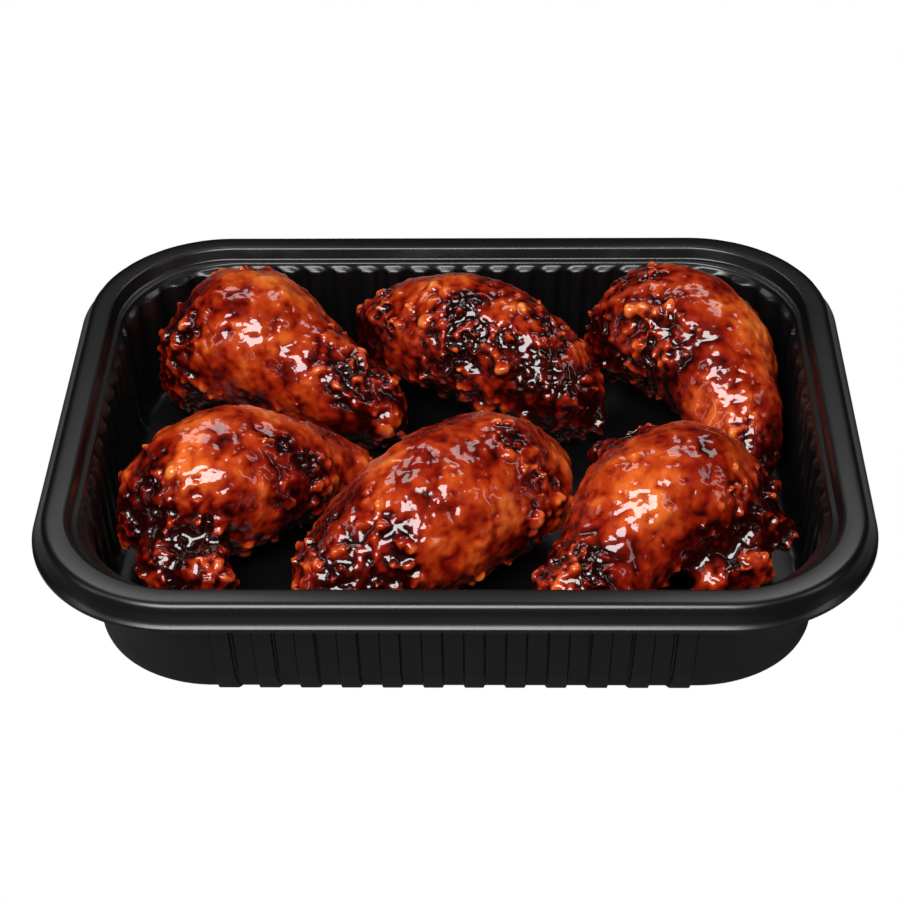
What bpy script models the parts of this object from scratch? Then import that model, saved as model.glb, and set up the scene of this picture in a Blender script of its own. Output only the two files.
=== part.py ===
"""Six sauced chicken wings in a black ribbed takeaway tray.

Run with: blender --background --python part.py

The tray is one thin shell: a flat sealing flange with a skirt outside it, two steps
inside it, and a fluted wall that runs down to a flat base. Each wing is one solid: a
limb swept along a bent centreline, with lumps of crust grown on it.

All numbers below are millimetres; the meshes are made in metres. The origin is the
middle of the tray's base, +X runs along the tray, +Y to its back and +Z up.
"""

from math import atan2, cos, pi, radians, sin

import bmesh
import bpy
from mathutils import Matrix, Vector

MM = 0.001

# ---- Tray: driving sizes ------------------------------------------------------------
TRAY_LENGTH = 227.0
TRAY_WIDTH = 179.0
TRAY_HEIGHT = 40.0
LIP_CORNER_RADIUS = 42.0
WALL_CORNER_RADIUS = 33.5
CORNER_TIGHTENING = 0.85  # how much the rim's corner radius shrinks for each millimetre inwards
CORNER_STEPS = 8
SHEET = 0.9  # thickness of the formed plastic

# ---- Tray: flutes, which bulge outwards from the wall -------------------------------
FRONT_RIBS = 12
FRONT_PITCH = 11.15
FRONT_RIB = (6.2, 4.8, 1.6)  # width at the foot, width at the face, depth
SIDE_FLUTES = 11
BACK_FLUTES = 17
FLUTE_PITCH = 8.15
FLUTE = (5.2, 2.2, 1.3)
BACK_CORNER_FLUTES = 4
CORNER_FLUTE = (0.16, 0.07, 1.3)  # here the widths are shares of the corner's turn
FOOT_FLUTING = 0.85  # the share of their depth that flutes keep at the base

# ---- Tray: profile of the flange, skirt and steps -----------------------------------
# Each point is (inset from the lip's outer edge, drop below the rim).
UPPER_RIM = [
    (0.0, 6.1),  # lip, the widest line of the tray
    (0.9, 4.6),
    (1.7, 3.1),  # crease under the rounded shoulder
    (2.2, 1.9),
    (2.9, 0.6),
    (3.9, 0.0),  # outer edge of the sealing flange
    (9.0, 0.0),  # inner edge of the sealing flange
    (9.6, 0.5),
    (10.5, 3.7),  # foot of the first step
    (12.0, 4.0),
    (12.3, 5.0),  # foot of the second step
]
LOWER_RIM = [
    (0.3, 6.8),  # bottom of the lip
    (1.0, 6.4),
    (2.6, 3.4),
    (3.1, 2.3),
    (3.6, 1.3),
    (4.2, SHEET),
    (8.4, SHEET),
    (8.9, 1.2),
    (9.8, 4.5),
    (11.2, 4.9),
    (11.5, 5.7),
]
WALL_TOP_INSET, WALL_TOP_DROP = 14.0, 6.3
WALL_FOOT_INSET, WALL_FOOT_HEIGHT = 15.7, 3.6
FLOOR_EDGE_INSET = 18.7
BASE_EDGE_INSET = 18.3
BASE_BEVEL = 0.7  # how high the base turns up before its edge is reached
UNDER_LEDGE = 1.0  # how much lower the wall's outside starts than its inside

# ---- Wings --------------------------------------------------------------------------
LINKS = 14  # overlapping masses along each wing's centreline
LINK_LENGTH = 0.9  # half length of a link, as a share of its radius
VOXEL = 1.8
SMOOTHING_PASSES = 3
SMOOTHING_LOSS = 0.6  # added to every mass beforehand
WING_TRIANGLES = 940

REST_LUMP_HEIGHT, REST_LUMP_RADIUS = 9.6, 8.0
REST_HEIGHT = 2.0  # from the ground to the lowest of a limb that lies flat in the tray

# For each wing, "limb" holds the round sections of its centreline as (x, y, radius, lift),
# with the lift above lying flat, "crust" its lumps as (x, y, z, radius), and "rests" the
# places (x, y) of the lumps that it rests on.
WINGS = {
    "wing_back_left": {
        "limb": [(-77, 50, 16, 4), (-64, 50, 22, 3), (-51, 44, 18, 3), (-37, 34, 14, 3), (-24, 30, 10, 2)],
        "crust": [(-87, 48, 15, 6), (-82, 42, 12, 6), (-22, 28, 12, 6)],
        "rests": [(-62, 48), (-26, 30)],
    },
    "wing_back_middle": {
        "limb": [(-21, 60, 12, 8), (-11, 56, 16, 8), (4, 49, 19, 7), (20, 41, 17, 5), (32, 34, 13, 3)],
        "crust": [(-28, 60, 18, 4), (40, 30, 12, 5)],
        "rests": [(4, 50), (31, 33)],
    },
    "wing_back_right": {
        "limb": [(52, 56, 14, 8), (62, 53, 19, 8), (76, 42, 19, 5), (82, 22, 14, 3), (84, 9, 10, 2)],
        "crust": [(44, 54, 15, 6), (87, -2, 10, 6)],
        "rests": [(64, 52), (83, 13)],
    },
    "wing_front_left": {
        "limb": [(-82, -21, 15, 3), (-70, -17, 20, 1), (-57, -10, 19, 1), (-43, -3, 13, 2), (-32, 1, 9, 3)],
        "crust": [(-90, -25, 17, 6), (-80, -40, 14, 8), (-69, -45, 14, 8)],
        "rests": [(-67, -16)],
    },
    "wing_front_middle": {
        "limb": [(-33, -50, 13, 1), (-21, -41, 18, 0), (-6, -30, 22, 0), (9, -18, 21, 1), (20, -12, 15, 4)],
        "crust": [(-37, -59, 10, 7), (26, -19, 14, 5)],
        "rests": [(-8, -30)],
    },
    "wing_front_right": {
        "limb": [(32, -58, 12, 1), (43, -42, 15, 1), (54, -27, 20, 2), (67, -21, 20, 1), (79, -27, 13, 2)],
        "crust": [(90, -27, 15, 6), (81, -42, 14, 6), (72, -44, 12, 7), (45, -4, 22, 7)],
        "rests": [(55, -26)],
    },
}


# ---- Tray ---------------------------------------------------------------------------
def flute_row(count, pitch, size):
    """Points along a side, counted from its middle, each with how far it stands out."""
    foot, face, depth = size
    row = []
    for index in range(count):
        middle = (index - (count - 1) / 2) * pitch
        row += [(middle - foot / 2, 0), (middle - face / 2, depth)]
        row += [(middle + face / 2, depth), (middle + foot / 2, 0)]
    return row


FRONT_ROW = flute_row(FRONT_RIBS, FRONT_PITCH, FRONT_RIB)
SIDE_ROW = flute_row(SIDE_FLUTES, FLUTE_PITCH, FLUTE)
BACK_ROW = flute_row(BACK_FLUTES, FLUTE_PITCH, FLUTE)
ROWS = [FRONT_ROW, SIDE_ROW, BACK_ROW, SIDE_ROW]
BACK_CORNER_ROW = flute_row(BACK_CORNER_FLUTES, 1 / BACK_CORNER_FLUTES, CORNER_FLUTE)
BACK_CORNERS = (1, 2)  # the corners that end the right side and the back


def outline(inset, height, fluting=0.0):
    """A rounded rectangle, anticlockwise from the front's left end, as (place, point).

    Fluting is the share of their depth that the flutes have here. A place counts 2 for
    each side with its corner, so that outlines of unequal counts can be stitched.
    """
    half_x = TRAY_LENGTH / 2 - inset
    half_y = TRAY_WIDTH / 2 - inset
    radius = max(LIP_CORNER_RADIUS - CORNER_TIGHTENING * inset, WALL_CORNER_RADIUS)
    loop = []
    for side in range(4):
        along = Vector((cos(side * pi / 2), sin(side * pi / 2), 0))
        out = Vector((along.y, -along.x, 0))
        reach, half = (half_y, half_x) if side % 2 == 0 else (half_x, half_y)
        straight = half - radius
        row = ROWS[side] if fluting else []
        for offset, depth in [(-straight, 0), *row, (straight, 0)]:
            point = along * offset + out * (reach + depth * fluting)
            loop.append((2 * side + (offset + straight) / (2 * straight), point))
        centre = along * straight + out * (reach - radius)
        turns = [(step / CORNER_STEPS, 0) for step in range(1, CORNER_STEPS)]
        if fluting and side in BACK_CORNERS:
            turns = [(0.5 + offset, depth) for offset, depth in BACK_CORNER_ROW]
        for turn, depth in turns:
            arm = out * cos(turn * pi / 2) + along * sin(turn * pi / 2)
            loop.append((2 * side + 1 + turn, centre + arm * (radius + depth * fluting)))
    return [(place, Vector((point.x, point.y, height)) * MM) for place, point in loop]


def add_ring(bm, loop):
    return [(place, bm.verts.new(point)) for place, point in loop]


def stitch(bm, first, second):
    """Faces between two rings, by stepping along whichever is behind."""
    a, b = 0, 0
    while a < len(first) or b < len(second):
        next_a = first[a + 1][0] if a + 1 < len(first) else 8.0
        next_b = second[b + 1][0] if b + 1 < len(second) else 8.0
        here_a, here_b = first[a % len(first)][1], second[b % len(second)][1]
        step_a = b >= len(second) or (a < len(first) and next_a <= next_b)
        if len(first) == len(second) and a == b:
            far_a, far_b = first[(a + 1) % len(first)][1], second[(b + 1) % len(second)][1]
            bm.faces.new((here_a, far_a, far_b, here_b))
            a, b = a + 1, b + 1
        elif step_a:
            bm.faces.new((here_a, first[(a + 1) % len(first)][1], here_b))
            a += 1
        else:
            bm.faces.new((here_a, second[(b + 1) % len(second)][1], here_b))
            b += 1


def tray_rings():
    """The outlines from the middle of the base, out under the rim, over it and down inside."""
    top = TRAY_HEIGHT
    outside = [
        outline(BASE_EDGE_INSET, 0),
        outline(WALL_FOOT_INSET, BASE_BEVEL, FOOT_FLUTING),
        outline(WALL_FOOT_INSET - SHEET, WALL_FOOT_HEIGHT, 1),
        outline(WALL_TOP_INSET - SHEET, top - WALL_TOP_DROP - UNDER_LEDGE, 1),
    ]
    under_rim = [outline(inset, top - drop) for inset, drop in reversed(LOWER_RIM)]
    over_rim = [outline(inset, top - drop) for inset, drop in UPPER_RIM]
    inside = [
        outline(WALL_TOP_INSET, top - WALL_TOP_DROP, 1),
        outline(WALL_FOOT_INSET, WALL_FOOT_HEIGHT, 1),
        outline(FLOOR_EDGE_INSET, SHEET),
    ]
    return outside + under_rim + over_rim + inside


def make_tray(material):
    bm = bmesh.new()
    rings = [add_ring(bm, loop) for loop in tray_rings()]
    for lower, upper in zip(rings, rings[1:]):
        stitch(bm, lower, upper)
    bm.faces.new([vert for _, vert in reversed(rings[0])])
    bm.faces.new([vert for _, vert in rings[-1]])
    bmesh.ops.recalc_face_normals(bm, faces=bm.faces)
    return add_object("tray", bm, material)


# ---- Wings --------------------------------------------------------------------------
def along_limb(sections, count):
    """Sections at even steps of a smooth curve through the given ones."""
    first = Vector(sections[0]) * 2 - Vector(sections[1])
    last = Vector(sections[-1]) * 2 - Vector(sections[-2])
    knots = [first] + [Vector(section) for section in sections] + [last]
    for step in range(count):
        place = step / (count - 1) * (len(sections) - 1)
        index = min(int(place), len(sections) - 2)
        t = place - index
        a, b, c, d = knots[index : index + 4]
        yield (b * 2 + (c - a) * t + (a * 2 - b * 5 + c * 4 - d) * t**2 + (b * 3 - a - c * 3 + d) * t**3) / 2


def add_mass(bm, centre, radii, heading=0.0):
    """An ellipsoid with its first radius along the heading."""
    place = Matrix.Translation(Vector(centre) * MM) @ Matrix.Rotation(heading, 4, "Z")
    size = Matrix.Diagonal((*((radius + SMOOTHING_LOSS) * MM for radius in radii), 1))
    bmesh.ops.create_icosphere(bm, subdivisions=3, radius=1, matrix=place @ size)


def add_limb(bm, sections):
    links = list(along_limb(sections, LINKS))
    for index, link in enumerate(links):
        before, after = links[max(index - 1, 0)], links[min(index + 1, LINKS - 1)]
        heading = atan2(after[1] - before[1], after[0] - before[0])
        x, y, radius, lift = link
        add_mass(bm, (x, y, REST_HEIGHT + radius + lift), (LINK_LENGTH * radius, radius, radius), heading)


def triangle_count(obj):
    bpy.context.view_layer.update()
    evaluated = obj.evaluated_get(bpy.context.evaluated_depsgraph_get())
    mesh = evaluated.to_mesh()
    mesh.calc_loop_triangles()
    count = len(mesh.loop_triangles)
    evaluated.to_mesh_clear()
    return count


def make_wing(name, shape, material):
    """Masses melted into one skin, smoothed, and thinned to an even count of triangles."""
    bm = bmesh.new()
    add_limb(bm, shape["limb"])
    for x, y, z, radius in shape["crust"]:
        add_mass(bm, (x, y, z), (radius, radius, radius))
    for x, y in shape["rests"]:
        add_mass(bm, (x, y, REST_LUMP_HEIGHT), (REST_LUMP_RADIUS,) * 3)
    wing = add_object(name, bm, material)

    skin = wing.modifiers.new("Skin", "REMESH")
    skin.mode = "VOXEL"
    skin.voxel_size = VOXEL * MM
    melt = wing.modifiers.new("Melt", "SMOOTH")
    melt.factor = 0.5
    melt.iterations = SMOOTHING_PASSES
    fine = triangle_count(wing)
    thin = wing.modifiers.new("Thin", "DECIMATE")
    thin.ratio = WING_TRIANGLES / fine
    return wing


# ---- Shared -------------------------------------------------------------------------
def add_object(name, bm, material):
    mesh = bpy.data.meshes.new(name)
    bm.to_mesh(mesh)
    bm.free()
    mesh.materials.append(material)
    obj = bpy.data.objects.new(name, mesh)
    bpy.context.scene.collection.objects.link(obj)
    return obj


def plain_material(name, colour, roughness, coat=0.0):
    material = bpy.data.materials.new(name)
    material.use_nodes = True
    shader = material.node_tree.nodes["Principled BSDF"]
    shader.inputs["Base Color"].default_value = (*colour, 1)
    shader.inputs["Roughness"].default_value = roughness
    shader.inputs["Metallic"].default_value = 0.0
    shader.inputs["Coat Weight"].default_value = coat
    return material


def main():
    for obj in list(bpy.data.objects):
        bpy.data.objects.remove(obj)
    plastic = plain_material("black_plastic", (0.012, 0.012, 0.013), 0.3)
    tray = make_tray(plastic)
    tray.data.shade_smooth()
    tray.data.set_sharp_from_angle(angle=radians(30))
    for name, shape in WINGS.items():
        glaze = plain_material(f"{name}_glaze", (0.28, 0.035, 0.008), 0.2, coat=1.0)
        make_wing(name, shape, glaze).data.shade_smooth()


main()
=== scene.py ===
"""Six sauced chicken wings in a black takeaway tray, built as finished pieces on the CAD frame.

Each step below is an operator with its settings in one property group, so the scene can be
made again from the panel, one piece at a time.
"""

from math import cos, pi, radians, sin

import bmesh
import bpy
import numpy as np
from bpy.props import BoolProperty, FloatProperty, IntProperty, PointerProperty
from mathutils import Matrix, Vector


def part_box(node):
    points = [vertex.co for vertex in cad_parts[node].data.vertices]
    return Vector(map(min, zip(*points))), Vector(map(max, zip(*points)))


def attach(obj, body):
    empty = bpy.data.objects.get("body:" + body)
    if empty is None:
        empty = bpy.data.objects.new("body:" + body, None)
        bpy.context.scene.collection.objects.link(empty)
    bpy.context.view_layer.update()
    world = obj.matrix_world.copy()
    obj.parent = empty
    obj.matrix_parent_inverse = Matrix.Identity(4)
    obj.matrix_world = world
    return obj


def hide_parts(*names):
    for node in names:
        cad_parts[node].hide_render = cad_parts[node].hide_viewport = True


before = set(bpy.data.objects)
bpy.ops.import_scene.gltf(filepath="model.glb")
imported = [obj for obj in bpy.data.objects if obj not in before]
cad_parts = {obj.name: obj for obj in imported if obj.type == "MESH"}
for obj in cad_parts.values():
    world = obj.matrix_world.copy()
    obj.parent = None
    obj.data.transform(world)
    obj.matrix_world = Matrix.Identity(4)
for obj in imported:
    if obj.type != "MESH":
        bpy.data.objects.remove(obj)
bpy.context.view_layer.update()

bl_info = {
    "name": "Sauced wings in a tray",
    "version": (1, 0, 0),
    "blender": (4, 5, 0),
    "location": "View3D > Sidebar > Wings",
    "description": "Builds six sauced chicken wings in a fluted black tray",
    "category": "Object",
}

MM = 0.001

# Where each wing's crust is roughest, as shares of its box along X and Y, with a reach in
# millimetres. The rest of its top is smoother skin under sauce.
ROUGH_SPOTS = {
    "wing_back_left": [(0.9, 0.2, 20), (0.08, 0.4, 13), (0.35, 0.97, 12)],
    "wing_back_middle": [(0.06, 0.65, 13), (0.42, 0.3, 15), (0.72, 0.15, 19), (0.97, 0.2, 13)],
    "wing_back_right": [(0.1, 0.75, 17), (0.25, 0.5, 17), (0.85, 0.06, 15)],
    "wing_front_left": [(0.08, 0.4, 13), (0.22, 0.12, 18), (0.42, 0.1, 15), (0.78, 0.5, 12)],
    "wing_front_middle": [(0.08, 0.12, 20), (0.3, 0.08, 14), (0.76, 0.62, 7), (0.95, 0.5, 12)],
    "wing_front_right": [(0.08, 0.1, 17), (0.85, 0.33, 16), (0.97, 0.55, 12), (0.28, 0.85, 11)],
}

BOX_BAND = 2 * MM  # how near the faces of its box a wing's crust is drawn in

# ---- Tray sizes, in millimetres -----------------------------------------------------
LIP_CORNER_RADIUS = 42.0
WALL_CORNER_RADIUS = 33.5
CORNER_TIGHTENING = 0.85
WALL_TOP = 14.0  # inset of the wall's inside at its top
FRONT_RIBS, FRONT_PITCH, FRONT_RIB_FOOT, FRONT_RIB_FACE, FRONT_RIB_DEPTH = 12, 11.15, 6.0, 4.9, 1.6
SIDE_FLUTES, BACK_FLUTES, FLUTE_PITCH, FLUTE_WIDTH, FLUTE_DEPTH = 11, 17, 8.15, 5.2, 1.3
CORNER_FLUTES = 5

# The wall section, as (inset, drop below the rim, share of the flutes' depth, rounding).
OUTER_SECTION = [
    (18.3, 40.0, 0.0, 0.0),
    (14.9, 40.0, 0.7, 1.6),
    (14.4, 34.0, 1.0, 0.5),
    (13.1, 7.3, 1.0, 0.3),
    (11.5, 5.7, 0.0, 0.3),
    (11.2, 4.9, 0.0, 0.3),
    (9.8, 4.5, 0.0, 0.4),
    (8.7, 0.9, 0.0, 0.6),
    (4.3, 0.9, 0.0, 0.8),
    (2.6, 3.4, 0.0, 0.4),
    (0.9, 6.4, 0.0, 0.2),
    (0.6, 6.8, 0.0, 0.15),
    (0.0, 6.8, 0.0, 0.2),
    (0.05, 5.7, 0.0, 0.12),
]
INNER_SECTION = [
    (0.9, 4.9, 0.0, 0.6),
    (2.0, 2.9, 0.0, 0.35),
    (2.25, 2.4, 0.0, 0.35),
    (3.3, 0.0, 0.0, 1.9),
    (9.5, 0.0, 0.0, 0.8),
    (10.5, 3.7, 0.0, 0.5),
    (12.0, 4.0, 0.0, 0.35),
    (12.35, 5.0, 0.0, 0.4),
    (WALL_TOP, 6.2, 1.0, 0.6),
    (15.2, 33.0, 1.0, 2.0),
    (16.0, 39.1, 0.2, 4.5),
    (21.5, 39.1, 0.0, 0.0),
]


class WingsSettings(bpy.types.PropertyGroup):
    skin_voxel: FloatProperty(
        name="Skin voxel",
        description="Cell size of the first smooth skin",
        default=1.1 * MM,
        subtype="DISTANCE",
        unit="LENGTH",
    )
    fine_voxel: FloatProperty(
        name="Fine voxel",
        description="Cell size of the finished wing",
        default=0.52 * MM,
        subtype="DISTANCE",
        unit="LENGTH",
    )
    crumb_density: FloatProperty(
        name="Crumb density",
        description="Most crumbs on each square metre of rough crust",
        default=100000.0,
    )
    crumb_smallest: FloatProperty(
        name="Smallest crumb",
        description="Radius of the smallest crumb",
        default=1.0 * MM,
        subtype="DISTANCE",
        unit="LENGTH",
    )
    crumb_largest: FloatProperty(
        name="Largest crumb",
        description="Radius of the largest crumb",
        default=2.9 * MM,
        subtype="DISTANCE",
        unit="LENGTH",
    )
    fold_height: FloatProperty(
        name="Fold height",
        description="How far the skin's folds rise",
        default=2.2 * MM,
        subtype="DISTANCE",
        unit="LENGTH",
    )
    blister_height: FloatProperty(
        name="Blister height",
        description="How far the skin's blisters rise",
        default=0.6 * MM,
        subtype="DISTANCE",
        unit="LENGTH",
    )
    lobe_height: FloatProperty(
        name="Lobe height",
        description="How far the crust's rounded lobes rise",
        default=2.2 * MM,
        subtype="DISTANCE",
        unit="LENGTH",
    )
    nodule_height: FloatProperty(
        name="Nodule height",
        description="How far the crust's small nodules rise",
        default=1.6 * MM,
        subtype="DISTANCE",
        unit="LENGTH",
    )
    crease_depth: FloatProperty(
        name="Crease depth",
        description="How deep the skin's creases run",
        default=0.22 * MM,
        subtype="DISTANCE",
        unit="LENGTH",
    )
    grain_height: FloatProperty(
        name="Grain height",
        description="How far the finest crust rises",
        default=0.28 * MM,
        subtype="DISTANCE",
        unit="LENGTH",
    )
    seed: IntProperty(name="Seed", description="Start of every random choice", default=7)
    key_power: FloatProperty(
        name="Key power",
        description="Power of the softbox over the camera",
        default=11.0,
        subtype="POWER",
        unit="POWER",
    )
    back_power: FloatProperty(
        name="Back power",
        description="Power of each softbox behind",
        default=1.2,
        subtype="POWER",
        unit="POWER",
    )
    side_power: FloatProperty(
        name="Side power",
        description="Power of each strip at the sides",
        default=0.55,
        subtype="POWER",
        unit="POWER",
    )
    fill_strength: FloatProperty(
        name="Fill",
        description="Strength of the room's even light",
        default=0.006,
    )
    white_floor: BoolProperty(
        name="White floor",
        description="Show the floor as plain white",
        default=True,
    )


# ---- Node helpers -------------------------------------------------------------------
class Tree:
    """Adds nodes to a tree and joins them, so that a network reads as a few calls."""

    def __init__(self, tree):
        self.tree = tree

    def add(self, kind, inputs=None, **settings):
        node = self.tree.nodes.new(kind)
        for name, value in settings.items():
            setattr(node, name, value)
        for key, value in (inputs or {}).items():
            socket = node.inputs[key]
            if isinstance(value, bpy.types.NodeSocket):
                self.tree.links.new(value, socket)
            else:
                socket.default_value = value
        return node

    def math(self, operation, a, b=0.0, clamp=False):
        return self.add("ShaderNodeMath", {0: a, 1: b}, operation=operation, use_clamp=clamp).outputs[0]

    def scale(self, vector, amount):
        return self.add(
            "ShaderNodeVectorMath",
            {0: vector, "Scale": amount},
            operation="SCALE",
        ).outputs[0]

    def link(self, output, socket):
        self.tree.links.new(output, socket)


def new_group(name, kind, inputs, outputs):
    """A node group with these (name, socket type, default) inputs and (name, socket type) outputs."""
    group = bpy.data.node_groups.new(name, kind)
    for label, socket_type, default in inputs:
        socket = group.interface.new_socket(label, in_out="INPUT", socket_type=socket_type)
        if default is not None:
            socket.default_value = default
    for label, socket_type in outputs:
        group.interface.new_socket(label, in_out="OUTPUT", socket_type=socket_type)
    net = Tree(group)
    return group, net, net.add("NodeGroupInput").outputs, net.add("NodeGroupOutput").inputs


def add_nodes_modifier(obj, group, values):
    """A Geometry Nodes modifier whose inputs are set by their sockets' identifiers."""
    modifier = obj.modifiers.new(group.name, "NODES")
    modifier.node_group = group
    for item in group.interface.items_tree:
        if item.item_type == "SOCKET" and item.in_out == "INPUT" and item.name in values:
            modifier[item.identifier] = values[item.name]
    return modifier


# ---- Geometry Nodes -----------------------------------------------------------------
def crumb_group():
    """Scatters uneven lumps over the faces where the "rough" attribute is high."""
    group, net, given, result = new_group(
        "Crumbs",
        "GeometryNodeTree",
        [
            ("Geometry", "NodeSocketGeometry", None),
            ("Density", "NodeSocketFloat", 100000.0),
            ("Smallest", "NodeSocketFloat", 0.001),
            ("Largest", "NodeSocketFloat", 0.003),
            ("Seed", "NodeSocketInt", 1),
            ("Material", "NodeSocketMaterial", None),
        ],
        [("Geometry", "NodeSocketGeometry")],
    )
    rough = net.add("GeometryNodeInputNamedAttribute", {"Name": "rough"}, data_type="FLOAT").outputs[0]
    place = net.add("GeometryNodeInputPosition").outputs[0]
    clusters = net.add(
        "ShaderNodeTexNoise",
        {"Vector": place, "Scale": 1 / (9 * MM), "Detail": 1.0},
    ).outputs[0]
    rough = net.math(
        "MULTIPLY",
        rough,
        net.math("MULTIPLY", net.math("SUBTRACT", clusters, 0.34), 4.5, clamp=True),
    )
    points = net.add(
        "GeometryNodeDistributePointsOnFaces",
        {
            "Mesh": given["Geometry"],
            "Distance Min": 1.1 * MM,
            "Density Max": given["Density"],
            "Density Factor": rough,
            "Seed": given["Seed"],
        },
        distribute_method="POISSON",
    )
    chance = net.add("FunctionNodeRandomValue", {"Seed": given["Seed"]}, data_type="FLOAT").outputs[1]
    share = net.math(
        "MULTIPLY",
        net.math("POWER", chance, 2.4),
        net.math("ADD", net.math("MULTIPLY", rough, 0.6), 0.4),
    )
    size = net.math(
        "ADD",
        given["Smallest"],
        net.math("MULTIPLY", share, net.math("SUBTRACT", given["Largest"], given["Smallest"])),
    )
    stretch = net.add(
        "FunctionNodeRandomValue",
        {0: (0.7, 0.7, 0.7), 1: (1.35, 1.35, 1.35)},
        data_type="FLOAT_VECTOR",
    ).outputs[0]
    turn = net.add(
        "FunctionNodeRandomValue",
        {0: (0, 0, 0), 1: (pi, pi, pi)},
        data_type="FLOAT_VECTOR",
    ).outputs[0]
    sunk = net.scale(points.outputs["Normal"], net.math("MULTIPLY", size, -0.25))
    moved = net.add("GeometryNodeSetPosition", {"Geometry": points.outputs["Points"], "Offset": sunk})
    ball = net.add("GeometryNodeMeshIcoSphere", {"Radius": 1.0, "Subdivisions": 3}).outputs["Mesh"]
    ball_place = net.add("GeometryNodeInputPosition").outputs[0]
    dents = net.add(
        "ShaderNodeTexNoise",
        {"Vector": ball_place, "Scale": 0.9, "Detail": 1.0},
    ).outputs["Color"]
    dents = net.add(
        "ShaderNodeVectorMath",
        {0: dents, 1: (0.5, 0.5, 0.5)},
        operation="SUBTRACT",
    ).outputs[0]
    lump = net.add(
        "GeometryNodeSetPosition",
        {"Geometry": ball, "Offset": net.scale(dents, 0.65)},
    ).outputs[0]
    lumps = net.add(
        "GeometryNodeInstanceOnPoints",
        {
            "Points": moved.outputs[0],
            "Instance": lump,
            "Rotation": turn,
            "Scale": net.scale(stretch, size),
        },
    )
    joined = net.add("GeometryNodeJoinGeometry")
    net.link(lumps.outputs[0], joined.inputs[0])
    net.link(given["Geometry"], joined.inputs[0])
    real = net.add("GeometryNodeRealizeInstances", {"Geometry": joined.outputs[0]})
    done = net.add(
        "GeometryNodeSetMaterial",
        {"Geometry": real.outputs[0], "Material": given["Material"]},
    )
    net.link(done.outputs[0], result["Geometry"])
    return group


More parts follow.
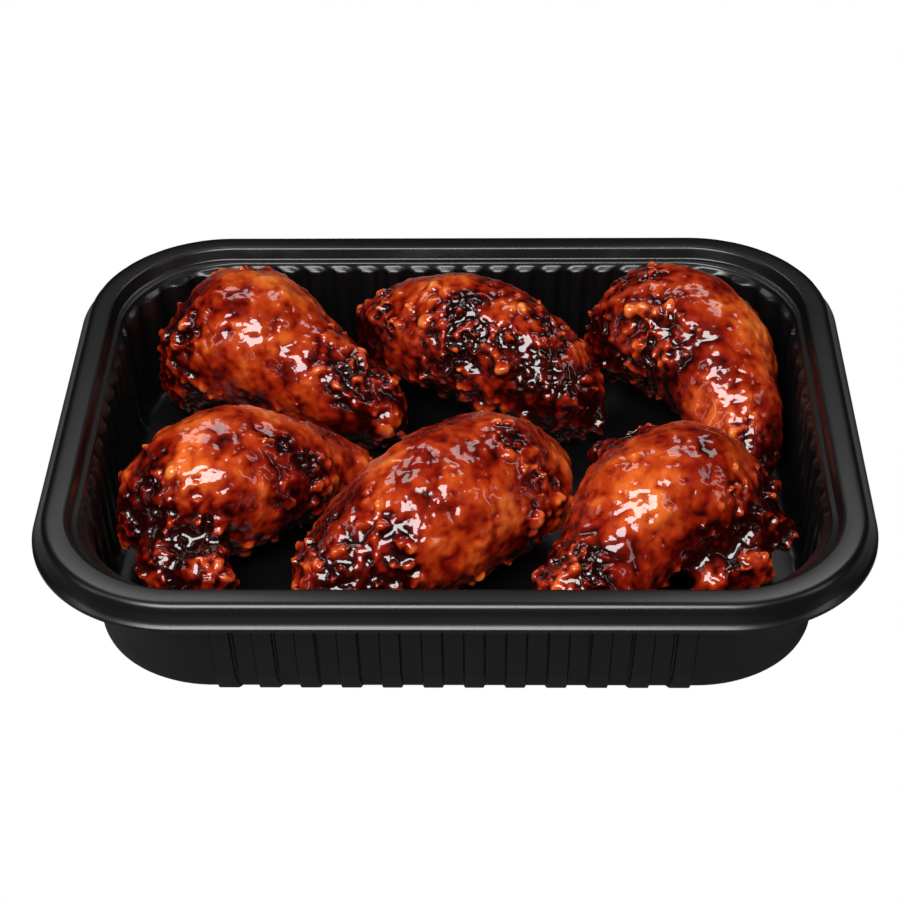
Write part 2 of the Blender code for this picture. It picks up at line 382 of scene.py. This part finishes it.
def relief_group():
    """Raises the crust and cuts its creases, then stores how far each point stands out."""
    group, net, given, result = new_group(
        "Crust relief",
        "GeometryNodeTree",
        [
            ("Geometry", "NodeSocketGeometry", None),
            ("Folds", "NodeSocketFloat", 0.001),
            ("Blisters", "NodeSocketFloat", 0.0005),
            ("Lobes", "NodeSocketFloat", 0.002),
            ("Nodules", "NodeSocketFloat", 0.001),
            ("Creases", "NodeSocketFloat", 0.0005),
            ("Grain", "NodeSocketFloat", 0.0002),
            ("Seed", "NodeSocketInt", 1),
            ("Material", "NodeSocketMaterial", None),
        ],
        [("Geometry", "NodeSocketGeometry")],
    )
    place = net.add("GeometryNodeInputPosition").outputs[0]
    normal = net.add("GeometryNodeInputNormal").outputs[0]

    def noise(size, detail, shift, **settings):
        w = net.math("ADD", given["Seed"], shift)
        node = net.add(
            "ShaderNodeTexNoise",
            {"Vector": place, "W": w, "Scale": 1 / size, "Detail": detail},
            noise_dimensions="4D",
            **settings,
        )
        return node.outputs[0]

    rough = net.add("GeometryNodeInputNamedAttribute", {"Name": "rough"}, data_type="FLOAT").outputs[0]
    uneven = net.math("ADD", net.math("MULTIPLY", rough, 0.75), 0.25)
    wander = net.add(
        "ShaderNodeTexNoise",
        {"Vector": place, "Scale": 1 / (8 * MM), "Detail": 1.0},
    ).outputs["Color"]
    warped = net.add(
        "ShaderNodeVectorMath",
        {0: place, 1: net.scale(wander, 6 * MM)},
        operation="ADD",
    ).outputs[0]

    def lobes(size, vector):
        cells = net.add(
            "ShaderNodeTexVoronoi",
            {"Vector": vector, "Scale": 1 / size, "Smoothness": 0.35},
            feature="SMOOTH_F1",
        )
        return net.math("SUBTRACT", 0.42, cells.outputs[0])

    folds = net.math("SUBTRACT", noise(17 * MM, 2.0, 0.3), 0.5)
    blisters = net.math("SUBTRACT", noise(5.0 * MM, 1.5, 5.1), 0.5)
    grain = net.math("MULTIPLY", lobes(2.4 * MM, place), uneven)
    rise = net.math("MULTIPLY", folds, net.math("MULTIPLY", given["Folds"], 2.0))
    rise = net.math(
        "ADD",
        rise,
        net.math("MULTIPLY", blisters, net.math("MULTIPLY", given["Blisters"], 2.0)),
    )
    big = net.math("MULTIPLY", lobes(11 * MM, warped), net.math("MULTIPLY", given["Lobes"], uneven))
    rise = net.math("ADD", rise, big)
    small = net.math("MULTIPLY", lobes(5 * MM, warped), net.math("MULTIPLY", given["Nodules"], uneven))
    rise = net.math("ADD", rise, small)
    off_line = net.math("ABSOLUTE", net.math("SUBTRACT", noise(9 * MM, 2.5, 8.7), 0.5))
    flank = net.math("MINIMUM", net.math("DIVIDE", off_line, 0.09), 1.0)
    rise = net.math("ADD", rise, net.math("MULTIPLY", net.math("SUBTRACT", flank, 1.0), given["Creases"]))
    rise = net.math("ADD", rise, net.math("MULTIPLY", grain, net.math("MULTIPLY", given["Grain"], 2.0)))
    raised = net.add(
        "GeometryNodeSetPosition",
        {"Geometry": given["Geometry"], "Offset": net.scale(normal, rise)},
    )

    def stands_out(iterations):
        """Millimetres a point lies outside the average of its surroundings."""
        blurred = net.add(
            "GeometryNodeBlurAttribute",
            {"Value": place, "Iterations": iterations},
            data_type="FLOAT_VECTOR",
        )
        apart = net.add(
            "ShaderNodeVectorMath",
            {0: place, 1: blurred.outputs[0]},
            operation="SUBTRACT",
        ).outputs[0]
        return net.math(
            "DIVIDE",
            net.add(
                "ShaderNodeVectorMath",
                {0: apart, 1: normal},
                operation="DOT_PRODUCT",
            ).outputs["Value"],
            MM,
        )

    fine = net.add(
        "GeometryNodeStoreNamedAttribute",
        {"Geometry": raised.outputs[0], "Name": "relief", "Value": stands_out(16)},
        data_type="FLOAT",
        domain="POINT",
    )
    stored = net.add(
        "GeometryNodeStoreNamedAttribute",
        {"Geometry": fine.outputs[0], "Name": "hollow", "Value": stands_out(120)},
        data_type="FLOAT",
        domain="POINT",
    )
    real = net.add("GeometryNodeRealizeInstances", {"Geometry": stored.outputs[0]})
    done = net.add(
        "GeometryNodeSetMaterial",
        {"Geometry": real.outputs[0], "Material": given["Material"]},
    )
    net.link(done.outputs[0], result["Geometry"])
    return group


# ---- Materials ----------------------------------------------------------------------
def sauce_group():
    """Colour, roughness and bump of sauced, fried skin, from its relief, height and noises. The colour
    holds painted shade: it is darker in creases, in broad hollows and low down on the wing.
    """
    group, net, given, result = new_group(
        "Sauce",
        "ShaderNodeTree",
        [("Thickness", "NodeSocketFloat", 0.5)],
        [("Color", "NodeSocketColor"), ("Roughness", "NodeSocketFloat"), ("Height", "NodeSocketFloat")],
    )
    place = net.add("ShaderNodeTexCoord").outputs["Object"]
    relief = net.add("ShaderNodeAttribute", attribute_name="relief").outputs["Fac"]
    rough = net.add("ShaderNodeAttribute", attribute_name="rough").outputs["Fac"]
    patches = net.add(
        "ShaderNodeTexNoise",
        {"Vector": place, "Scale": 1 / (16 * MM), "Detail": 3.0, "Roughness": 0.6},
    ).outputs[0]
    mottle = net.add(
        "ShaderNodeTexNoise",
        {"Vector": place, "Scale": 1 / (3 * MM), "Detail": 4.0, "Roughness": 0.65},
    ).outputs[0]
    hollow = net.add("ShaderNodeAttribute", attribute_name="hollow").outputs["Fac"]
    # Creases are darker: partly thicker sauce pooled there, partly painted shade.
    crevice = net.math("MULTIPLY", net.math("MINIMUM", relief, 0.0), 0.7)
    # Bumps are lighter where the sauce runs thin; the broad hollow measure darkens hollows with painted
    # shade.
    sauce_thinness_and_shade = net.math("ADD", net.math("MULTIPLY", relief, 0.35), net.math("MULTIPLY", hollow, 0.2))
    sauce_thinness_and_shade = net.math("ADD", sauce_thinness_and_shade, crevice)
    # Painted shade: the wing's colour is darkened towards its bottom, where shade falls.
    height = net.add("ShaderNodeSeparateXYZ", {0: place}).outputs["Z"]
    shade_low_down = net.math("SUBTRACT", 1.0, net.math("DIVIDE", height, 32 * MM), clamp=True)
    sauce_thinness_and_shade = net.math("SUBTRACT", sauce_thinness_and_shade, net.math("MULTIPLY", shade_low_down, 0.3))
    sauce_thinness_and_shade = net.math("ADD", sauce_thinness_and_shade, net.math("MULTIPLY", net.math("SUBTRACT", patches, 0.5), 1.7))
    sauce_thinness_and_shade = net.math("ADD", sauce_thinness_and_shade, net.math("MULTIPLY", net.math("SUBTRACT", mottle, 0.5), 0.25))
    sauce_thinness_and_shade = net.math("SUBTRACT", sauce_thinness_and_shade, net.math("MULTIPLY", rough, 0.2))
    sauce_thinness_and_shade = net.math("ADD", sauce_thinness_and_shade, given["Thickness"], clamp=True)
    ramp = net.add("ShaderNodeValToRGB", {0: sauce_thinness_and_shade})
    stops = [
        (0.0, (0.01, 0.0005, 0.0003)),
        (0.22, (0.06, 0.0015, 0.0006)),
        (0.42, (0.18, 0.007, 0.0015)),
        (0.62, (0.33, 0.03, 0.004)),
        (0.82, (0.5, 0.085, 0.012)),
        (1.0, (0.62, 0.15, 0.025)),
    ]
    while len(ramp.color_ramp.elements) < len(stops):
        ramp.color_ramp.elements.new(0.5)
    for element, (place_on_ramp, colour) in zip(ramp.color_ramp.elements, stops):
        element.position = place_on_ramp
        element.color = (*colour, 1)
    net.link(ramp.outputs[0], result["Color"])
    net.link(net.math("ADD", net.math("MULTIPLY", mottle, 0.2), 0.22), result["Roughness"])
    bumps = net.add(
        "ShaderNodeTexNoise",
        {"Vector": place, "Scale": 1 / (1.6 * MM), "Detail": 2.0},
    ).outputs[0]
    net.link(bumps, result["Height"])
    return group


def principled(name):
    material = bpy.data.materials.new(name)
    material.use_nodes = True
    return material, Tree(material.node_tree), material.node_tree.nodes["Principled BSDF"]


def sauce_material():
    material, net, shader = principled("sauced_skin")
    look = net.add("ShaderNodeGroup", node_tree=sauce_group())
    look.inputs["Thickness"].default_value = 0.47
    bump = net.add(
        "ShaderNodeBump",
        {"Height": look.outputs["Height"], "Strength": 0.25, "Distance": 0.3 * MM},
    )
    net.link(look.outputs["Color"], shader.inputs["Base Color"])
    net.link(look.outputs["Roughness"], shader.inputs["Roughness"])
    net.link(bump.outputs[0], shader.inputs["Normal"])
    net.link(bump.outputs[0], shader.inputs["Coat Normal"])
    shader.inputs["IOR"].default_value = 1.45
    shader.inputs["Specular IOR Level"].default_value = 0.05
    shader.inputs["Subsurface Weight"].default_value = 0.06
    shader.inputs["Subsurface Radius"].default_value = (1.0, 0.25, 0.08)
    shader.inputs["Subsurface Scale"].default_value = 1.5 * MM
    shader.inputs["Coat Weight"].default_value = 1.0
    shader.inputs["Coat Roughness"].default_value = 0.06
    shader.inputs["Coat IOR"].default_value = 1.5
    return material


def plastic_material():
    material, net, shader = principled("black_plastic_shell")
    place = net.add("ShaderNodeTexCoord").outputs["Object"]
    haze = net.add(
        "ShaderNodeTexNoise",
        {"Vector": place, "Scale": 1 / (30 * MM), "Detail": 3.0},
    ).outputs[0]
    net.link(net.math("ADD", net.math("MULTIPLY", haze, 0.06), 0.28), shader.inputs["Roughness"])
    shader.inputs["Base Color"].default_value = (0.002, 0.002, 0.0022, 1)
    shader.inputs["IOR"].default_value = 1.5
    return material


# ---- Pieces -------------------------------------------------------------------------
def add_object(name, mesh):
    obj = bpy.data.objects.new(name, mesh)
    bpy.context.scene.collection.objects.link(obj)
    return obj


def finished_mesh(obj):
    """The object's mesh with its modifiers applied; the object itself is then removed."""
    bpy.context.view_layer.update()
    graph = bpy.context.evaluated_depsgraph_get()
    mesh = bpy.data.meshes.new_from_object(obj.evaluated_get(graph), depsgraph=graph)
    bpy.data.objects.remove(obj)
    return mesh


def add_voxel_remesh(obj, size, passes):
    remesh = obj.modifiers.new("Melt", "REMESH")
    remesh.mode = "VOXEL"
    remesh.voxel_size = size
    remesh.use_smooth_shade = True
    smooth = obj.modifiers.new("Soften", "SMOOTH")
    smooth.factor = 0.5
    smooth.iterations = passes


def positions(mesh):
    flat = np.empty(len(mesh.vertices) * 3, np.float32)
    mesh.vertices.foreach_get("co", flat)
    return flat.reshape(-1, 3)


def store_roughness(mesh, spots, low, high):
    """The "rough" attribute: 1 near the rough spots and low on the sides, 0 on the smooth top."""
    points = positions(mesh)
    size = high - low
    rough = np.zeros(len(points))
    for share_x, share_y, reach in spots:
        centre = low[:2] + size[:2] * (share_x, share_y)
        distance = np.linalg.norm(points[:, :2] - centre, axis=1) / (reach * MM)
        rough = np.maximum(rough, np.clip(1.9 - 1.5 * distance, 0, 1))
    height = (points[:, 2] - low[2]) / size[2]
    rough = np.clip(np.maximum(rough, 0.95 - 1.9 * height), 0, 1)
    attribute = mesh.attributes.new("rough", "FLOAT", "POINT")
    attribute.data.foreach_set("value", rough.astype(np.float32))


def draw_inside(mesh, low, high):
    """Ease every point near the faces of the wing's box back inside it."""
    points = positions(mesh)
    for axis in range(3):
        for sign, face in ((1, high[axis]), (-1, -low[axis])):
            into_band = sign * points[:, axis] - (face - BOX_BAND)
            eased = face - BOX_BAND * np.exp(-np.maximum(into_band, 0) / BOX_BAND)
            points[:, axis] = np.where(into_band > 0, sign * eased, points[:, axis])
    mesh.vertices.foreach_set("co", points.ravel().astype(np.float32))
    mesh.update()


def make_wing(node, settings, groups, material):
    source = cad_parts[node]
    skin = add_object(f"{node}_skin", source.data.copy())
    bm = bmesh.new()
    bm.from_mesh(skin.data)
    bmesh.ops.remove_doubles(bm, verts=bm.verts, dist=0.01 * MM)
    bm.to_mesh(skin.data)
    bm.free()
    add_voxel_remesh(skin, settings.skin_voxel, 6)
    mesh = finished_mesh(skin)
    low, high = (np.array(corner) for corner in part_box(node))
    store_roughness(mesh, ROUGH_SPOTS[node], low, high)

    crumbs, relief = groups
    seed = settings.seed + list(ROUGH_SPOTS).index(node)
    wing = add_object(f"{node}_crumbed", mesh)
    add_nodes_modifier(wing, crumbs, {
        "Density": settings.crumb_density,
        "Smallest": settings.crumb_smallest,
        "Largest": settings.crumb_largest,
        "Seed": seed,
        "Material": material,
    })
    add_voxel_remesh(wing, settings.fine_voxel, 3)
    mesh = finished_mesh(wing)
    store_roughness(mesh, ROUGH_SPOTS[node], low, high)
    wing = add_object(f"{node}_raised", mesh)
    add_nodes_modifier(wing, relief, {
        "Folds": settings.fold_height,
        "Blisters": settings.blister_height,
        "Lobes": settings.lobe_height,
        "Nodules": settings.nodule_height,
        "Creases": settings.crease_depth,
        "Grain": settings.grain_height,
        "Seed": seed,
        "Material": material,
    })
    mesh = finished_mesh(wing)
    draw_inside(mesh, low, high)
    mesh.shade_smooth()
    wing = add_object(f"{node}_sauced", mesh)
    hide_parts(node)
    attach(wing, "root")
    return wing


def flute_stations(count, pitch, offsets):
    middles = (np.arange(count) - (count - 1) / 2) * pitch
    return [(middle + offset, stand) for middle in middles for offset, stand in offsets]


def tray_stations():
    """Points round the tray: (side, share of its straight or None, share of its corner, stand)."""
    half_x, half_y = tray_halves()
    foot, face = FRONT_RIB_FOOT / 2, FRONT_RIB_FACE / 2
    edge = [(-foot, 0), (-foot + 0.12, 0.12), (-face - 0.12, 0.88), (-face, 1)]
    far_edge = [(-offset, stand) for offset, stand in reversed(edge)]
    rib = edge + [(-face / 2, 1), (0, 1), (face / 2, 1)] + far_edge
    front = flute_stations(
        FRONT_RIBS,
        FRONT_PITCH,
        [(offset, stand * FRONT_RIB_DEPTH) for offset, stand in rib],
    )
    turns = np.linspace(-1, 1, 11)
    flute = [(turn * FLUTE_WIDTH / 2, cos(turn * pi / 2) * FLUTE_DEPTH) for turn in turns]
    side = flute_stations(SIDE_FLUTES, FLUTE_PITCH, flute)
    back = flute_stations(BACK_FLUTES, FLUTE_PITCH, flute)
    corner = flute_stations(CORNER_FLUTES, FLUTE_PITCH, flute)
    corner = [(0.5 + offset / FLUTE_PITCH / CORNER_FLUTES, stand) for offset, stand in corner]
    plain = [(turn, 0) for turn in np.linspace(0, 1, 33)[1:-1]]
    stations = []
    for index, row in enumerate([front, side, back, side]):
        half = half_x if index % 2 == 0 else half_y
        straight = half - WALL_TOP - WALL_CORNER_RADIUS
        row = [(offset, stand) for offset, stand in row if abs(offset) < straight]
        for offset, stand in [(-straight, 0), *row, (straight, 0)]:
            stations.append((index, offset / straight, 0.0, stand))
        for turn, stand in corner if index in (1, 2) else plain:
            stations.append((index, 1.0, turn, stand))
    return np.array(stations)


def tray_halves():
    low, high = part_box("tray")
    return (high.x - low.x) / 2 / MM, (high.y - low.y) / 2 / MM


def ring(stations, inset, height, fluting):
    """The tray's outline at this inset and height, one point for each station."""
    half_x, half_y = tray_halves()
    index, share, turn, stand = stations.T
    radius = max(LIP_CORNER_RADIUS - CORNER_TIGHTENING * inset, WALL_CORNER_RADIUS)
    across = index % 2 == 0
    reach = np.where(across, half_y, half_x) - inset
    straight = np.where(across, half_x, half_y) - inset - radius
    along = np.stack([np.cos(index * pi / 2), np.sin(index * pi / 2)], axis=1)
    out = np.stack([along[:, 1], -along[:, 0]], axis=1)
    centre = along * (straight * share)[:, None] + out * (reach - radius)[:, None]
    arm = out * np.cos(turn * pi / 2)[:, None] + along * np.sin(turn * pi / 2)[:, None]
    flat = centre + arm * (radius + stand * fluting)[:, None]
    return np.column_stack([flat, np.full(len(flat), height)])


def rounded(section, steps=5):
    """The section with each corner turned into a short curve of its rounding."""
    points = [np.array(point[:3]) for point in section]
    smooth = [points[0]]
    for before, here, after, rounding in zip(
        points,
        points[1:],
        points[2:],
        [point[3] for point in section[1:]],
    ):
        ends = []
        for other in (before, after):
            length = np.linalg.norm((other - here)[:2])
            ends.append(here + (other - here) * min(rounding / length, 0.48))
        for t in np.linspace(0, 1, steps):
            smooth.append(ends[0] * (1 - t) ** 2 + here * 2 * t * (1 - t) + ends[1] * t**2)
    return smooth + [points[-1]]


def make_tray(material):
    low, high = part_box("tray")
    top = high.z / MM
    stations = tray_stations()
    section = rounded(OUTER_SECTION + INNER_SECTION)
    rings = [ring(stations, inset, top - drop, fluting) for inset, drop, fluting in section]
    count = len(stations)
    points = np.concatenate(rings) * MM
    here = np.arange(count)
    after = (here + 1) % count
    faces = [list(here[::-1])]
    for level in range(len(rings) - 1):
        base = level * count
        quads = np.stack([base + here, base + after, base + count + after, base + count + here], axis=1)
        faces += quads.tolist()
    faces.append(list((len(rings) - 1) * count + here))
    mesh = bpy.data.meshes.new("tray_shell")
    mesh.from_pydata(points.tolist(), [], [[int(i) for i in face] for face in faces])
    mesh.shade_smooth()
    mesh.set_sharp_from_angle(angle=radians(50))
    mesh.materials.append(material)
    shell = add_object("tray_shell", mesh)
    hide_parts("tray")
    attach(shell, "root")
    return shell


# ---- Stage --------------------------------------------------------------------------
def add_softbox(name, power, size, target, azimuth, elevation, distance):
    """A rectangular light that faces the target from that direction; azimuth 0 is the front."""
    light = bpy.data.lights.new(name, "AREA")
    light.shape = "RECTANGLE"
    light.size, light.size_y = size
    light.energy = power
    lamp = bpy.data.objects.new(name, light)
    away = Vector((sin(azimuth) * cos(elevation), -cos(azimuth) * cos(elevation), sin(elevation)))
    lamp.location = target + away * distance
    lamp.rotation_euler = away.to_track_quat("Z", "Y").to_euler()
    bpy.context.scene.collection.objects.link(lamp)
    return lamp


def make_camera():
    """A long lens from the front, a little over a third of the way up."""
    elevation, turn, roll = radians(38.0), radians(1.4), radians(-0.89)
    target, distance = Vector((-0.0026, 0.0289, 0)), 0.697
    back = Vector((sin(turn) * cos(elevation), -cos(turn) * cos(elevation), sin(elevation)))
    right = Vector((0, 0, 1)).cross(back).normalized()
    up = back.cross(right)
    rolled_right = right * cos(roll) + up * sin(roll)
    rolled_up = up * cos(roll) - right * sin(roll)
    camera = bpy.data.cameras.new("camera")
    camera.lens = 91.6
    camera.sensor_width = 36.0
    camera.clip_start = 0.01
    obj = bpy.data.objects.new("camera", camera)
    axes = Matrix((rolled_right, rolled_up, back)).transposed().to_4x4()
    obj.matrix_world = Matrix.Translation(target + back * distance) @ axes
    bpy.context.scene.collection.objects.link(obj)
    bpy.context.scene.camera = obj


def make_world(strength):
    """White where the camera looks straight at it, and a dim even room for all else."""
    world = bpy.data.worlds.new("studio")
    world.use_nodes = True
    net = Tree(world.node_tree)
    background = world.node_tree.nodes["Background"]
    path = net.add("ShaderNodeLightPath")
    seen = net.add(
        "ShaderNodeMix",
        {0: path.outputs["Is Camera Ray"], 2: strength, 3: 1.0},
        data_type="FLOAT",
    )
    net.link(seen.outputs[0], background.inputs["Strength"])
    background.inputs["Color"].default_value = (1, 1, 1, 1)
    bpy.context.scene.world = world


def make_floor(white):
    mesh = bpy.data.meshes.new("floor")
    bm = bmesh.new()
    bmesh.ops.create_grid(bm, x_segments=1, y_segments=1, size=3.0)
    bm.to_mesh(mesh)
    bm.free()
    floor = add_object("floor", mesh)
    floor.location.z = -0.0002
    material, net, shader = principled("floor")
    shader.inputs["Base Color"].default_value = (0.12, 0.12, 0.12, 1)
    shader.inputs["Roughness"].default_value = 0.9
    if white:
        path = net.add("ShaderNodeLightPath")
        glow = net.add("ShaderNodeEmission", {"Color": (1, 1, 1, 1), "Strength": 1.0})
        mix = net.add(
            "ShaderNodeMixShader",
            {0: path.outputs["Is Camera Ray"], 1: shader.outputs[0], 2: glow.outputs[0]},
        )
        output = material.node_tree.nodes["Material Output"]
        net.link(mix.outputs[0], output.inputs["Surface"])
    mesh.materials.append(material)


# ---- Operators ----------------------------------------------------------------------
class WINGS_OT_tray(bpy.types.Operator):
    """Build the black tray's smooth, fluted shell"""

    bl_idname = "wings.tray"
    bl_label = "Build tray"

    def execute(self, context):
        make_tray(plastic_material())
        return {"FINISHED"}


class WINGS_OT_wings(bpy.types.Operator):
    """Build the six sauced wings with their crumbs and folds"""

    bl_idname = "wings.wings"
    bl_label = "Build wings"

    def execute(self, context):
        groups = (crumb_group(), relief_group())
        material = sauce_material()
        for node in ROUGH_SPOTS:
            make_wing(node, context.scene.wings, groups, material)
        return {"FINISHED"}


class WINGS_OT_stage(bpy.types.Operator):
    """Add the floor, the lights, the room and the camera"""

    bl_idname = "wings.stage"
    bl_label = "Set the stage"

    def execute(self, context):
        settings = context.scene.wings
        middle = Vector((0, 0, 0.02))
        add_softbox("key_softbox", settings.key_power, (0.6, 0.4), middle, radians(-12), radians(52), 0.8)
        for side in (-1, 1):
            add_softbox(
                f"back_softbox_{side + 1}",
                settings.back_power,
                (0.35, 0.25),
                middle,
                radians(180 + 30 * side),
                radians(52),
                0.9,
            )
            add_softbox(
                f"side_strip_{side + 1}",
                settings.side_power,
                (0.12, 0.5),
                middle,
                radians(70 * side),
                radians(30),
                0.8,
            )
        make_world(settings.fill_strength)
        make_floor(settings.white_floor)
        make_camera()
        context.scene.view_settings.view_transform = "Standard"
        return {"FINISHED"}


class WINGS_PT_panel(bpy.types.Panel):
    bl_label = "Sauced wings"
    bl_idname = "WINGS_PT_panel"
    bl_space_type = "VIEW_3D"
    bl_region_type = "UI"
    bl_category = "Wings"

    def draw(self, context):
        for name in WingsSettings.__annotations__:
            self.layout.prop(context.scene.wings, name)
        for step in STEPS:
            self.layout.operator(step.bl_idname)


STEPS = (WINGS_OT_tray, WINGS_OT_wings, WINGS_OT_stage)
CLASSES = (WingsSettings, *STEPS, WINGS_PT_panel)


def register():
    for cls in CLASSES:
        bpy.utils.register_class(cls)
    bpy.types.Scene.wings = PointerProperty(type=WingsSettings)


def unregister():
    del bpy.types.Scene.wings
    for cls in reversed(CLASSES):
        bpy.utils.unregister_class(cls)


def main():
    register()
    bpy.ops.wings.tray()
    bpy.ops.wings.wings()
    bpy.ops.wings.stage()


if __name__ == "__main__":
    main()
